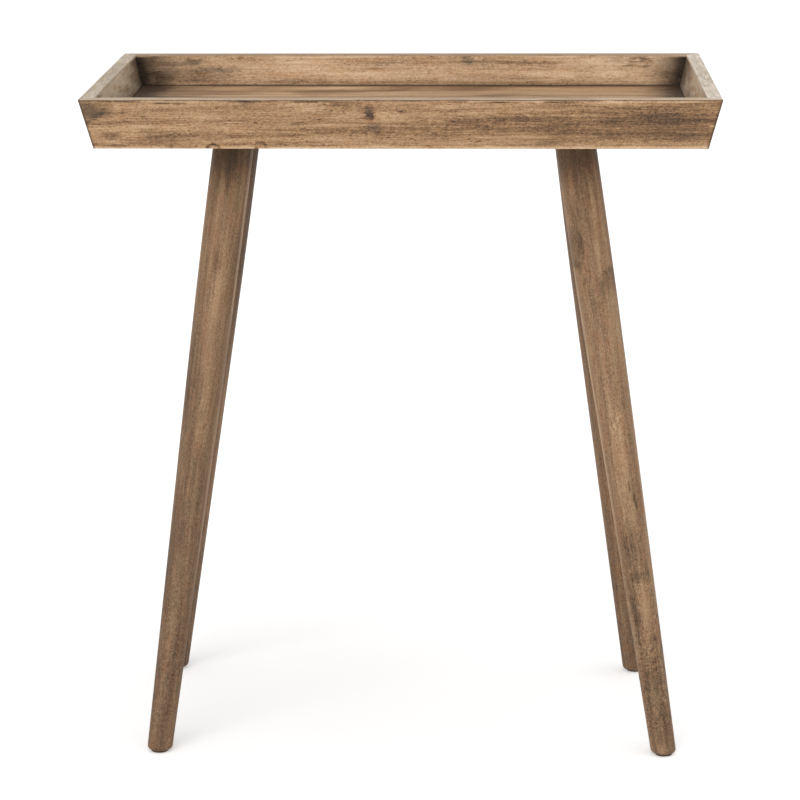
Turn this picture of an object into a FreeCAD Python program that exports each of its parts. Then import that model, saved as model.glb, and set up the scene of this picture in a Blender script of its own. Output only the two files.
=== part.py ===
import FreeCAD, Part
import math
import os

# Accent table: a shallow tray with flared, mitred sides on four splayed, turned legs.
# Sizes are in millimetres. The origin is on the floor below the middle of the tray.
# +X points to the right along the long side, the front looks towards -Y, and +Z is up.

Vector = FreeCAD.Vector

# Overall sizes, measured over the tray's rim and down to the floor
TABLE_HEIGHT = 746.0
TRAY_WIDTH = 680.0
TRAY_DEPTH = 400.0

# Tray sides: four boards that lean outwards by the flare angle
WALL_THICKNESS = 15.2
FLARE_ANGLE = 14.0
EDGE_EASE = 1.2
CORNER_EASE = 1.6
MITRE_GAP = 0.1

# Tray floor: one panel, rebated round its top to a tongue that sits in a groove in the four sides
INSIDE_DEPTH = 35.5
FLOOR_THICKNESS = 9.0
FLOOR_REBATE = 3.0
FLOOR_EDGE_PLAY = 0.3
FLOOR_RECESS = 10.0
GROOVE_DEPTH = 5.0
GROOVE_END_PLAY = 0.5
GROOVE_PLAY = 0.2

# Finish nails through each mitred corner, set below the face
BRAD_DIAMETER = 1.6
BRAD_LENGTH = 26.0
BRAD_HEAD_DIAMETER = 2.4
BRAD_HEAD_HEIGHT = 1.2
BRAD_SET = 1.5
BRAD_EDGE = 10.0

# Cleats: blocks under the floor that the leg plates are screwed to
CLEAT_THICKNESS = 16.0
CLEAT_MARGIN = 10.0
CLEAT_EASE = 1.5

# Leg positions: where each leg's axis meets its plate, and where it meets the floor
# Along the tray they are set in from its ends, and across it they are a spacing apart
LEG_TOP_INSET = 152.0
LEG_TOP_SPACING = 98.0
FOOT_INSET = 56.0
FOOT_SPACING = 293.0
# The feet stand a little out of square: the front pair this far to the right, the back pair to the left
FOOT_RACK = 8.0
# The back legs splay a little less along the tray than the front ones
BACK_FOOT_INSET = 4.0

# Legs: round, parallel at the top, then a long straight taper
LEG_TOP_DIAMETER = 45.0
LEG_FOOT_DIAMETER = 28.0
LEG_PARALLEL = 30.0
LEG_BLEND = 220.0
LEG_TOP_EASE = 1.0
FOOT_ROUND = 4.0

# Leg plates: steel squares with a threaded boss along the leg's axis
PLATE_SIDE = 52.0
PLATE_THICKNESS = 2.5
PLATE_CORNER = 8.0
BOSS_DIAMETER = 22.0
BOSS_LENGTH = 8.0
THREAD_CLEARANCE = 0.1

# Hanger bolts: machine thread up into the plate, wood thread down into the leg
BOLT_DIAMETER = 8.0
BOLT_WOOD_DIAMETER = 7.4
BOLT_WOOD_LENGTH = 42.0
BOLT_TIP = 8.0
BOLT_PROUD = 2.0
BOLT_CHAMFER = 0.8
RELIEF_CLEARANCE = 1.5

# Countersunk wood screws, one kind for the plates and one for the cleats
PLATE_SCREW_DIAMETER = 4.0
PLATE_SCREW_HEAD = 8.0
PLATE_SCREW_LENGTH = 14.0
PLATE_SCREW_INSET = 9.0
CLEAT_SCREW_DIAMETER = 4.5
CLEAT_SCREW_HEAD = 9.0
CLEAT_SCREW_BITE = 6.0
CLEAT_SCREW_INSET = 12.0
SCREW_HOLE_CLEARANCE = 0.2
SCREW_DRIVE_SPAN = 4.6
SCREW_DRIVE_WIDTH = 1.0
SCREW_DRIVE_DEPTH = 1.4

# Glides: thin pads nailed under the feet
GLIDE_DIAMETER = 19.0
GLIDE_THICKNESS = 2.5
GLIDE_EASE = 0.8
GLIDE_NAIL_DIAMETER = 2.2
GLIDE_NAIL_LENGTH = 14.0

# How far cutting tools run past the faces that they cut
OVERRUN = 20.0
# How near counts as touching, and as parallel, when edges are picked for rounding
TOUCH = 0.01
PARALLEL = 1e-6

# Levels that follow from the sizes above
FLARE_SLOPE = math.tan(math.radians(FLARE_ANGLE))
RIM_WIDTH = WALL_THICKNESS / math.cos(math.radians(FLARE_ANGLE))
WALL_HEIGHT = INSIDE_DEPTH + FLOOR_THICKNESS + FLOOR_RECESS
WALL_BOTTOM = TABLE_HEIGHT - WALL_HEIGHT
FLOOR_TOP = TABLE_HEIGHT - INSIDE_DEPTH
FLOOR_BOTTOM = FLOOR_TOP - FLOOR_THICKNESS
TONGUE_TOP = FLOOR_TOP - FLOOR_REBATE
CLEAT_BOTTOM = FLOOR_BOTTOM - CLEAT_THICKNESS
PLATE_BOTTOM = CLEAT_BOTTOM - PLATE_THICKNESS
PLATE_REACH = PLATE_SIDE / math.sqrt(2)
CLEAT_HALF_WIDTH = PLATE_REACH + CLEAT_MARGIN
CLEAT_HALF_LENGTH = LEG_TOP_SPACING / 2 + PLATE_REACH + CLEAT_MARGIN
LEG_TOP_X = TRAY_WIDTH / 2 - LEG_TOP_INSET
FOOT_X = TRAY_WIDTH / 2 - FOOT_INSET

UP = Vector(0, 0, 1)


def prism(points, z_low, z_high):
    """A flat outline given by (x, y) points, raised from one level to another."""
    corners = [Vector(x, y, z_low) for x, y in points]
    outline = Part.makePolygon(corners + corners[:1])
    return Part.Face(outline).extrude(Vector(0, 0, z_high - z_low))


def centred_box(half_x, half_y, z_low, z_high):
    """A box that is centred on the vertical axis."""
    corner = Vector(-half_x, -half_y, z_low)
    return Part.makeBox(2 * half_x, 2 * half_y, z_high - z_low, corner)


def turned(edges):
    """A solid of revolution about the local Z axis from the edges of a half section in XZ."""
    return Part.Face(Part.Wire(edges)).revolve(Vector(0, 0, 0), UP, 360)


def turned_outline(points):
    """A solid of revolution from the (radius, height) corners of a half section."""
    corners = [Vector(radius, 0, height) for radius, height in points]
    return turned(Part.makePolygon(corners + corners[:1]).Edges)


def along(shape, start, direction):
    """A copy of a shape with its local origin at start and its local Z axis along direction."""
    turn = FreeCAD.Rotation(UP, direction)
    copy = shape.copy()
    copy.Placement = FreeCAD.Placement(start, turn)
    return copy


def edges_where(shape, test):
    """The edges of a shape for which test(edge) holds."""
    return [edge for edge in shape.Edges if test(edge)]


def runs_along(edge, direction):
    """True for a straight edge that is parallel to direction."""
    if not isinstance(edge.Curve, Part.Line):
        return False
    return edge.Curve.Direction.cross(direction).Length < PARALLEL


def drilled(shape, tools):
    """The shape with the space of each tool cut out of it."""
    return shape.cut(Part.makeCompound(tools))


# Tray sides

def flare_inset(depth_below_rim):
    """How far the outer face has come in at a depth below the rim."""
    return depth_below_rim * FLARE_SLOPE


def tray_outline(depth_below_rim, inset=0.0):
    """The tray's outer rectangle at a depth below the rim, drawn in by an inset, as a closed wire."""
    half_x = TRAY_WIDTH / 2 - flare_inset(depth_below_rim) - inset
    half_y = TRAY_DEPTH / 2 - flare_inset(depth_below_rim) - inset
    level = TABLE_HEIGHT - depth_below_rim
    signs = ((-1, -1), (1, -1), (1, 1), (-1, 1), (-1, -1))
    return Part.makePolygon([Vector(sx * half_x, sy * half_y, level) for sx, sy in signs])


def tray_envelope():
    """The tray's whole outer form, with its four leaning corners eased."""
    block = Part.makeLoft([tray_outline(WALL_HEIGHT), tray_outline(0)], True, True)
    leaning = edges_where(block, lambda edge: edge.BoundBox.ZLength > WALL_HEIGHT / 2)
    return block.makeFillet(CORNER_EASE, leaning)


def groove_half_sizes():
    """Half the width and depth of the grooves, measured out to their ends."""
    reach = RIM_WIDTH + flare_inset(INSIDE_DEPTH) - GROOVE_DEPTH
    return TRAY_WIDTH / 2 - reach, TRAY_DEPTH / 2 - reach


def floor_groove():
    """The room that the floor's tongue needs in the sides."""
    half_x, half_y = groove_half_sizes()
    return centred_box(half_x, half_y, FLOOR_BOTTOM, TONGUE_TOP + GROOVE_PLAY)


def floor_panel():
    """The floor: a tongue out into the grooves, and above it a raised field between the sides."""
    half_x, half_y = groove_half_sizes()
    tongue = centred_box(half_x - GROOVE_END_PLAY, half_y - GROOVE_END_PLAY, FLOOR_BOTTOM, TONGUE_TOP)
    inset = RIM_WIDTH + FLOOR_EDGE_PLAY
    field_foot = tray_outline(INSIDE_DEPTH + FLOOR_REBATE, inset)
    field = Part.makeLoft([field_foot, tray_outline(INSIDE_DEPTH, inset)], True, True)
    return tongue.fuse(field)


def tray_board(span, setback, quarter_turns, envelope, brads):
    """One flared side: a leaning board, eased along its edges, mitred and grooved.

    It is made along X at the front, setback from the centre, and then turned into place.
    """
    foot_inset = flare_inset(WALL_HEIGHT)
    section = [
        Vector(-span / 2, -setback, TABLE_HEIGHT),
        Vector(-span / 2, -setback + foot_inset, WALL_BOTTOM),
        Vector(-span / 2, -setback + foot_inset + RIM_WIDTH, WALL_BOTTOM),
        Vector(-span / 2, -setback + RIM_WIDTH, TABLE_HEIGHT),
    ]
    board = Part.Face(Part.makePolygon(section + section[:1])).extrude(Vector(span, 0, 0))
    long_edges = edges_where(board, lambda edge: runs_along(edge, Vector(1, 0, 0)))
    board = board.makeFillet(EDGE_EASE, long_edges)

    trim = MITRE_GAP / math.sqrt(2)
    inner = foot_inset + RIM_WIDTH + OVERRUN
    mitres = prism(
        [
            (-span / 2 - OVERRUN + trim, -setback - OVERRUN),
            (span / 2 + OVERRUN - trim, -setback - OVERRUN),
            (span / 2 - inner - trim, -setback + inner),
            (-span / 2 + inner + trim, -setback + inner),
        ],
        WALL_BOTTOM - OVERRUN,
        TABLE_HEIGHT + OVERRUN,
    )
    board = board.common(mitres)
    board.rotate(Vector(0, 0, 0), UP, 90 * quarter_turns)
    board = board.common(envelope)
    return drilled(board, [floor_groove()] + brads)


# Corner nails

def corner_brad(side_x, side_y, depth):
    """A finish nail, at a depth below the rim, through a long side into the end of a short side."""
    middle_x = TRAY_WIDTH / 2 - flare_inset(depth) - RIM_WIDTH / 2
    face_y = TRAY_DEPTH / 2 - flare_inset(depth) - BRAD_SET
    nail = turned_outline([
        (0, 0),
        (BRAD_HEAD_DIAMETER / 2, 0),
        (BRAD_HEAD_DIAMETER / 2, BRAD_HEAD_HEIGHT),
        (BRAD_DIAMETER / 2, BRAD_HEAD_HEIGHT),
        (BRAD_DIAMETER / 2, BRAD_LENGTH - BRAD_DIAMETER),
        (0, BRAD_LENGTH),
    ])
    start = Vector(side_x * middle_x, side_y * face_y, TABLE_HEIGHT - depth)
    return along(nail, start, Vector(0, -side_y, 0))


# Screws

def screw_blank(diameter, head_diameter, length, clearance=0.0):
    """A countersunk wood screw without its drive: flat head at the origin, point along +Z."""
    shank = diameter / 2 + clearance
    head = head_diameter / 2 + clearance
    return turned_outline([
        (0, 0),
        (head, 0),
        (shank, head - shank),
        (shank, length - diameter),
        (0, length),
    ])


def drive_recess():
    """The cross that is pressed into a screw's head."""
    half_arm = SCREW_DRIVE_SPAN / 2
    half_width = SCREW_DRIVE_WIDTH / 2
    arm_x = centred_box(half_arm, half_width, -OVERRUN, SCREW_DRIVE_DEPTH)
    arm_y = centred_box(half_width, half_arm, -OVERRUN, SCREW_DRIVE_DEPTH)
    return arm_x.fuse(arm_y)


def screw(diameter, head_diameter, length):
    """A countersunk wood screw with a cross drive."""
    return screw_blank(diameter, head_diameter, length).cut(drive_recess())


# Legs and what holds them

class LegPlace:
    """One leg's axis, from its plate to its foot."""

    def __init__(self, side_x, side_y):
        self.plate_point = Vector(side_x * LEG_TOP_X, side_y * LEG_TOP_SPACING / 2, PLATE_BOTTOM)
        inset = BACK_FOOT_INSET if side_y == BACK else 0.0
        foot_x = side_x * (FOOT_X - inset) - side_y * FOOT_RACK
        self.foot_point = Vector(foot_x, side_y * FOOT_SPACING / 2, GLIDE_THICKNESS)
        run = self.foot_point - self.plate_point
        self.axis = Vector(run).normalize()
        self.seat_point = self.plate_point + self.axis * BOSS_LENGTH
        self.length = (self.foot_point - self.seat_point).Length
        self.through_plate = PLATE_THICKNESS / -self.axis.z
        self.heading = math.degrees(math.atan2(run.y, run.x))

    def screw_points(self):
        """Where the four plate screws enter, at the corners of the turned plate."""
        offset = PLATE_SIDE / 2 - PLATE_SCREW_INSET
        turn = FreeCAD.Rotation(UP, self.heading)
        signs = ((-1, -1), (1, -1), (1, 1), (-1, 1))
        return [self.plate_point + turn.multVec(Vector(a * offset, b * offset, 0)) for a, b in signs]


def hanger_bolt(place):
    """A bolt on the leg's axis: machine thread above the leg's top, wood thread below it."""
    above = BOSS_LENGTH + place.through_plate + BOLT_PROUD
    radius = BOLT_DIAMETER / 2
    wood_radius = BOLT_WOOD_DIAMETER / 2
    bolt = turned_outline([
        (0, -above),
        (radius - BOLT_CHAMFER, -above),
        (radius, -above + BOLT_CHAMFER),
        (radius, 0),
        (wood_radius, 0),
        (wood_radius, BOLT_WOOD_LENGTH - BOLT_TIP),
        (0, BOLT_WOOD_LENGTH),
    ])
    return along(bolt, place.seat_point, place.axis)


def bolt_relief(place):
    """The hole in the cleat that clears the end of a hanger bolt."""
    radius = BOLT_DIAMETER / 2 + RELIEF_CLEARANCE
    depth = place.through_plate + BOLT_PROUD + RELIEF_CLEARANCE
    hole = Part.makeCylinder(radius, depth, Vector(0, 0, -depth))
    return along(hole, place.plate_point, place.axis)


def plate_screw_blanks(place, clearance=0.0):
    """The four plate screws of one leg, without their drives."""
    blank = screw_blank(PLATE_SCREW_DIAMETER, PLATE_SCREW_HEAD, PLATE_SCREW_LENGTH, clearance)
    return [along(blank, point, UP) for point in place.screw_points()]


def leg_plate(place):
    """A square steel plate, turned towards the splay, with a boss along the leg's axis."""
    half = PLATE_SIDE / 2
    sheet = centred_box(half, half, 0, PLATE_THICKNESS)
    corners = edges_where(sheet, lambda edge: runs_along(edge, UP))
    sheet = sheet.makeFillet(PLATE_CORNER, corners)
    sheet.rotate(Vector(0, 0, 0), UP, place.heading)
    sheet.translate(place.plate_point)

    boss_run = BOSS_LENGTH + OVERRUN
    boss = Part.makeCylinder(BOSS_DIAMETER / 2, boss_run, Vector(0, 0, -boss_run))
    boss = along(boss, place.seat_point, place.axis)
    above = centred_box(TRAY_WIDTH, TRAY_DEPTH, PLATE_BOTTOM + PLATE_THICKNESS / 2, TABLE_HEIGHT)
    plate = sheet.fuse(boss.cut(above)).removeSplitter()

    thread_radius = BOLT_DIAMETER / 2 + THREAD_CLEARANCE
    thread = Part.makeCylinder(thread_radius, BOSS_LENGTH + 2 * OVERRUN, Vector(0, 0, -OVERRUN))
    thread = along(thread, place.plate_point, place.axis)
    return drilled(plate, [thread] + plate_screw_blanks(place, SCREW_HOLE_CLEARANCE))


def leg_blank(length):
    """A turned leg along local +Z: parallel, then a long arc that eases into a straight taper."""
    top_radius = LEG_TOP_DIAMETER / 2
    foot_radius = LEG_FOOT_DIAMETER / 2
    blend_end = LEG_PARALLEL + LEG_BLEND
    taper = (top_radius - foot_radius) / (length - blend_end + LEG_BLEND / 2)
    blend_drop = taper * LEG_BLEND / 2
    blend_bend = (blend_drop ** 2 + LEG_BLEND ** 2) / (2 * blend_drop)
    half_turn = math.asin(LEG_BLEND / blend_bend) / 2
    end_radius = foot_radius - taper * OVERRUN

    axis_top = Vector(0, 0, 0)
    face_edge = Vector(top_radius - LEG_TOP_EASE, 0, 0)
    shoulder = Vector(top_radius, 0, LEG_TOP_EASE)
    blend_start = Vector(top_radius, 0, LEG_PARALLEL)
    blend_sag = blend_bend * (1 - math.cos(half_turn))
    blend_middle = Vector(top_radius - blend_sag, 0, LEG_PARALLEL + blend_bend * math.sin(half_turn))
    blend_stop = Vector(top_radius - blend_drop, 0, blend_end)
    foot_edge = Vector(end_radius, 0, length + OVERRUN)
    axis_foot = Vector(0, 0, length + OVERRUN)

    return turned([
        Part.makeLine(axis_top, face_edge),
        Part.makeLine(face_edge, shoulder),
        Part.makeLine(shoulder, blend_start),
        Part.Arc(blend_start, blend_middle, blend_stop).toShape(),
        Part.makeLine(blend_stop, foot_edge),
        Part.makeLine(foot_edge, axis_foot),
        Part.makeLine(axis_foot, axis_top),
    ])


def leg(place, bolt):
    """A turned leg on its axis, cut level and rounded at the foot, and bored for its bolt and glide."""
    shaft = along(leg_blank(place.length), place.seat_point, place.axis)
    below_foot = centred_box(TRAY_WIDTH, TRAY_WIDTH, -2 * OVERRUN, GLIDE_THICKNESS)
    shaft = shaft.cut(below_foot)
    foot_edges = edges_where(shaft, lambda edge: edge.BoundBox.ZMax < GLIDE_THICKNESS + TOUCH)
    shaft = shaft.makeFillet(FOOT_ROUND, foot_edges)
    return drilled(shaft, [bolt, glide_nail(place)])


def glide_nail(place):
    """The nail that holds a glide, from the foot's face up into the leg."""
    nail = turned_outline([
        (0, 0),
        (GLIDE_NAIL_DIAMETER / 2, 0),
        (GLIDE_NAIL_DIAMETER / 2, GLIDE_NAIL_LENGTH - GLIDE_NAIL_DIAMETER),
        (0, GLIDE_NAIL_LENGTH),
    ])
    nail.translate(place.foot_point)
    return nail


def glide(place):
    """A thin round pad under a foot, with its nail."""
    pad = Part.makeCylinder(GLIDE_DIAMETER / 2, GLIDE_THICKNESS)
    rim = edges_where(pad, lambda edge: edge.BoundBox.ZMax < GLIDE_THICKNESS / 2)
    pad = pad.makeFillet(GLIDE_EASE, rim)
    pad.translate(place.foot_point - UP * GLIDE_THICKNESS)
    return pad.fuse(glide_nail(place))


# Cleats

def cleat_screw_points(side_x):
    """Where the four screws of one cleat enter, near its corners."""
    reach_x = CLEAT_HALF_WIDTH - CLEAT_SCREW_INSET
    reach_y = CLEAT_HALF_LENGTH - CLEAT_SCREW_INSET
    middle = side_x * LEG_TOP_X
    signs = ((-1, -1), (1, -1), (1, 1), (-1, 1))
    return [Vector(middle + a * reach_x, b * reach_y, CLEAT_BOTTOM) for a, b in signs]


def cleat(side_x, tools):
    """A block under the floor, eased along its lower edges, that carries two legs."""
    block = centred_box(CLEAT_HALF_WIDTH, CLEAT_HALF_LENGTH, CLEAT_BOTTOM, FLOOR_BOTTOM)
    lower = edges_where(block, lambda edge: edge.BoundBox.ZMax < CLEAT_BOTTOM + TOUCH)
    block = block.makeFillet(CLEAT_EASE, lower)
    block.translate(Vector(side_x * LEG_TOP_X, 0, 0))
    return drilled(block, tools)


# Assembly

LEFT, RIGHT = -1, 1
FRONT, BACK = -1, 1
LEG_NAMES = {
    "front_left": (LEFT, FRONT),
    "front_right": (RIGHT, FRONT),
    "back_left": (LEFT, BACK),
    "back_right": (RIGHT, BACK),
}

parts = {}
places = {name: LegPlace(*sides) for name, sides in LEG_NAMES.items()}

brads = [
    corner_brad(side_x, side_y, depth)
    for side_x in (LEFT, RIGHT)
    for side_y in (FRONT, BACK)
    for depth in (BRAD_EDGE, INSIDE_DEPTH - BRAD_EDGE)
]
parts["corner_brads"] = Part.makeCompound(brads)

envelope = tray_envelope()
parts["tray_front_board"] = tray_board(TRAY_WIDTH, TRAY_DEPTH / 2, 0, envelope, brads)
parts["tray_right_end"] = tray_board(TRAY_DEPTH, TRAY_WIDTH / 2, 1, envelope, brads)
parts["tray_back_board"] = tray_board(TRAY_WIDTH, TRAY_DEPTH / 2, 2, envelope, brads)
parts["tray_left_end"] = tray_board(TRAY_DEPTH, TRAY_WIDTH / 2, 3, envelope, brads)

cleat_screw_length = CLEAT_THICKNESS + CLEAT_SCREW_BITE
cleat_blank = screw_blank(CLEAT_SCREW_DIAMETER, CLEAT_SCREW_HEAD, cleat_screw_length)
cleat_points = {side_x: cleat_screw_points(side_x) for side_x in (LEFT, RIGHT)}
cleat_blanks = [along(cleat_blank, point, UP) for points in cleat_points.values() for point in points]
cleat_screw = screw(CLEAT_SCREW_DIAMETER, CLEAT_SCREW_HEAD, cleat_screw_length)
parts["cleat_screws"] = Part.makeCompound(
    [along(cleat_screw, point, UP) for points in cleat_points.values() for point in points])

plate_blanks = [blank for place in places.values() for blank in plate_screw_blanks(place)]
plate_screw = screw(PLATE_SCREW_DIAMETER, PLATE_SCREW_HEAD, PLATE_SCREW_LENGTH)
parts["plate_screws"] = Part.makeCompound(
    [along(plate_screw, point, UP) for place in places.values() for point in place.screw_points()])

reliefs = [bolt_relief(place) for place in places.values()]
cleat_tools = cleat_blanks + plate_blanks + reliefs
parts["left_cleat"] = cleat(LEFT, cleat_tools)
parts["right_cleat"] = cleat(RIGHT, cleat_tools)

parts["tray_floor"] = drilled(floor_panel(), cleat_blanks + plate_blanks)

bolts = {name: hanger_bolt(place) for name, place in places.items()}
parts["hanger_bolts"] = Part.makeCompound(list(bolts.values()))

for name, place in places.items():
    parts["leg_plate_" + name] = leg_plate(place)
    parts["leg_" + name] = leg(place, bolts[name])
    parts["glide_" + name] = glide(place)

os.makedirs("parts", exist_ok=True)
for name, shape in parts.items():
    shape.exportStep("parts/" + name + ".step")
    state = "valid" if shape.isValid() else "not valid"
    print(name, len(shape.Solids), "solids", round(shape.Volume), "mm3", state)
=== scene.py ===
import math

import bpy
import numpy as np
from mathutils import Matrix, Vector

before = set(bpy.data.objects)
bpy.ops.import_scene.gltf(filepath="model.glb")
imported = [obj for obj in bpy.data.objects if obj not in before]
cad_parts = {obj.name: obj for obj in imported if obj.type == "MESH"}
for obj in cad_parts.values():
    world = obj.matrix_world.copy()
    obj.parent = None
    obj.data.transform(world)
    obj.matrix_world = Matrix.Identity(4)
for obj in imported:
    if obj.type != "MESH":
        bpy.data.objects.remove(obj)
bpy.context.view_layer.update()


# Tray front board: a weathered softwood board, planed, brushed and wiped with a brown glaze.
# It leans outwards, is mitred at both ends, and is glued and nailed to the two short sides.

MM_PER_METRE = 1000.0
TRAY_HALF_WIDTH = 340.0
TRAY_HALF_DEPTH = 200.0
RIM_LEVEL = 746.0
FLOOR_LEVEL = 710.5
BOARD_FOOT_LEVEL = 691.5
BOARD_THICKNESS = 15.2
FLARE = math.radians(14.0)
FLARE_SLOPE = math.tan(FLARE)
RIM_WIDTH = BOARD_THICKNESS / math.cos(FLARE)


class Wire:
    """One output of a finish's nodes. A sum written with it adds the Math nodes that work it out."""

    def __init__(self, finish, socket):
        self.finish = finish
        self.socket = socket

    def maths(self, operation, *terms):
        return self.finish.node("Math", {"operation": operation}, dict(enumerate(terms)))

    def __add__(self, other):
        return self.maths("ADD", self, other)

    __radd__ = __add__

    def __sub__(self, other):
        return self.maths("SUBTRACT", self, other)

    def __rsub__(self, other):
        return self.maths("SUBTRACT", other, self)

    def __mul__(self, other):
        return self.maths("MULTIPLY", self, other)

    __rmul__ = __mul__

    def __abs__(self):
        return self.maths("ABSOLUTE", self)

    def least(self, other):
        return self.maths("MINIMUM", self, other)

    def most(self, other):
        return self.maths("MAXIMUM", self, other)

    def between(self, low, high):
        """0 at low and 1 at high with a soft step, also where high is the smaller number."""
        ends = {"Value": self, "From Min": low, "From Max": high}
        return self.finish.node("MapRange", {"interpolation_type": "SMOOTHSTEP"}, ends)


class Finish:
    """The nodes of a material, or of the studio's surround, and the few ways in which they are added."""

    def __init__(self, owner):
        self.owner = owner
        owner.use_nodes = True
        self.tree = owner.node_tree
        self.tree.nodes.clear()

    def node(self, kind, settings=None, sockets=None, output=0):
        """Add a node of a kind: its settings first, then a number, a colour or a link for each socket."""
        made = self.tree.nodes.new("ShaderNode" + kind)
        for name, setting in (settings or {}).items():
            if name == "stops":
                spread_stops(made.color_ramp.elements, setting)
            else:
                setattr(made, name, setting)
        for name, given in (sockets or {}).items():
            if isinstance(given, Wire):
                self.tree.links.new(given.socket, made.inputs[name])
            else:
                made.inputs[name].default_value = given
        return Wire(self, made.outputs[output]) if made.outputs else None

    def place(self, turn=(0.0, 0.0, 0.0), shift=(0.0, 0.0, 0.0)):
        """The point on the piece in millimetres, turned about the axes and then shifted."""
        point = self.node("TexCoord", output="Object")
        sockets = {"Vector": point, "Rotation": turn, "Location": shift, "Scale": (MM_PER_METRE,) * 3}
        return self.node("Mapping", {"vector_type": "POINT"}, sockets)

    def axes(self, point):
        """The three coordinates of a point, as numbers."""
        return [self.node("SeparateXYZ", {}, {0: point}, output=axis) for axis in range(3)]

    def noise(self, point, cell, detail=2.0, rough=0.5, swirl=0.0, output=0):
        """Cloudy noise from 0 to 1, with cells of a size in millimetres along each axis."""
        share = tuple(1.0 / side for side in cell)
        drawn = self.node("VectorMath", {"operation": "MULTIPLY"}, {0: point, 1: share})
        sockets = {"Vector": drawn, "Scale": 1.0, "Detail": detail, "Roughness": rough, "Distortion": swirl}
        return self.node("TexNoise", {}, sockets, output=output)

    def shifted(self, point, shift):
        """The point moved by a shift along each axis."""
        return self.node("VectorMath", {"operation": "ADD"}, {0: point, 1: shift})

    def pushed(self, point, cloud, reach):
        """The point pushed about by a coloured noise, by up to half the reach each way."""
        middle = tuple(-side / 2.0 for side in reach)
        push = self.node("VectorMath", {"operation": "MULTIPLY_ADD"}, {0: cloud, 1: reach, 2: middle})
        return self.shifted(point, push)

    def mix(self, share, first, second, blend="MIX"):
        """A colour between two others."""
        settings = {"data_type": "RGBA", "blend_type": blend}
        return self.node("Mix", settings, {0: share, 6: first, 7: second}, output=2)

    def ramp(self, value, stops):
        """A colour from a row of stops, each a position and a colour."""
        return self.node("ValToRGB", {"stops": stops}, {0: value})

    def spot(self, point, middle, reach, core=0.1):
        """A soft spot: 1 in its core, 0 beyond its reach along x and z, and alike all through the piece."""
        share = (1.0 / reach[0], 0.0, 1.0 / reach[1])
        back = (-middle[0] / reach[0], 0.0, -middle[1] / reach[1])
        away = self.node("VectorMath", {"operation": "MULTIPLY_ADD"}, {0: point, 1: share, 2: back})
        distance = self.node("VectorMath", {"operation": "LENGTH"}, {0: away}, output="Value")
        return distance.between(1.0, core)

    def surface(self, colour, roughness, height, bump=1.0, **constant):
        """Close the material: a colour, a roughness and a relief given in millimetres."""
        relief = self.node("Bump", {}, {"Height": height, "Distance": 1.0 / MM_PER_METRE, "Strength": bump})
        sockets = {"Base Color": colour, "Roughness": roughness, "Normal": relief}
        sockets.update({name.replace("_", " "): value for name, value in constant.items()})
        shader = self.node("BsdfPrincipled", {}, sockets)
        self.node("OutputMaterial", {}, {"Surface": shader})
        return self.owner


def spread_stops(elements, stops):
    """Give a colour ramp its stops."""
    while len(elements) < len(stops):
        elements.new(1.0)
    for element, (position, colour) in zip(elements, stops):
        element.position = position
        element.color = colour


def shade(code):
    """A colour written as six hexadecimal digits, in the linear light that a shader works in."""
    channels = np.array([int(code[start:start + 2], 16) for start in (0, 2, 4)]) / 255.0
    linear = np.where(channels <= 0.04045, channels / 12.92, ((channels + 0.055) / 1.055) ** 2.4)
    return (*linear.tolist(), 1.0)


def dress(node, material):
    """Put a finish on a carried-over piece in place of its plain one."""
    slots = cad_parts[node].data.materials
    slots.clear()
    slots.append(material)


class BoardFinish(Finish):
    """The finish of one board of the tray, with the places and the noises that its layers share.

    A point on the board runs along it from its middle, into it from its outer face, and up that leaning
    face from its lower edge. The wood is the same point in one long plank, each board from another place.
    The loose, firm and fine points are pushed about, which gives the stains their ragged edges.
    """

    def __init__(self, name, turn, along, plank_start):
        super().__init__(bpy.data.materials.new(name))
        halves = (TRAY_HALF_WIDTH, TRAY_HALF_DEPTH)
        face = halves[1 - along]
        face_depth = face * math.cos(FLARE) - RIM_LEVEL * math.sin(FLARE)
        foot = face - (RIM_LEVEL - BOARD_FOOT_LEVEL) * FLARE_SLOPE
        foot_height = foot * math.sin(FLARE) + BOARD_FOOT_LEVEL * math.cos(FLARE)
        board = self.place(turn, (0.0, face_depth, -foot_height))
        depth = self.axes(board)[1]
        self.world = self.axes(self.place())
        self.half = halves[along]
        self.position = abs(self.world[along])
        self.drop = RIM_LEVEL - self.world[2]
        self.rise = self.world[2] - FLOOR_LEVEL
        self.outside = depth.between(3.0, 1.0)
        self.inside = (BOARD_THICKNESS - depth).between(2.5, 0.8) * self.rise.between(-1.6, -0.6)
        self.arris = self.drop.between(2.2, 1.0) * self.drop.between(0.1, 0.7)

        self.wood = self.shifted(board, (plank_start, 0.0, 0.0))
        self.clouds = self.noise(self.wood, (95.0, 24.0, 24.0), detail=4.0, rough=0.6)
        self.patchy = self.noise(self.wood, (34.0, 6.0, 6.0), detail=3.0, rough=0.6)
        ragged = self.noise(self.wood, (9.0, 4.0, 4.0), detail=4.0, rough=0.75, output="Color")
        self.blot = self.axes(ragged)[0] - 0.5
        self.loose = self.pushed(board, ragged, (30.0, 0.0, 18.0))
        self.firm = self.pushed(board, ragged, (9.0, 0.0, 7.0))
        self.fine = self.pushed(board, ragged, (12.0, 0.0, 2.6))

        drift = self.noise(self.wood, (240.0, 50.0, 50.0), detail=1.0, output="Color")
        self.flow = self.pushed(self.wood, drift, (0.0, 9.0, 9.0))
        self.grit = self.noise(self.flow, (3.2, 1.7, 1.7), detail=3.0, rough=0.75)
        self.fibres = self.noise(self.flow, (30.0, 1.0, 1.0), detail=2.0, rough=0.6)
        self.streaks = self.noise(self.flow, (110.0, 2.4, 2.4), detail=3.0, rough=0.6)
        field = self.noise(self.wood, (44.0, 12.0, 12.0), detail=2.0).between(0.4, 0.6)
        self.specks = self.noise(self.flow, (5.0, 1.4, 1.4), detail=1.0).between(0.62, 0.74) * field


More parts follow.
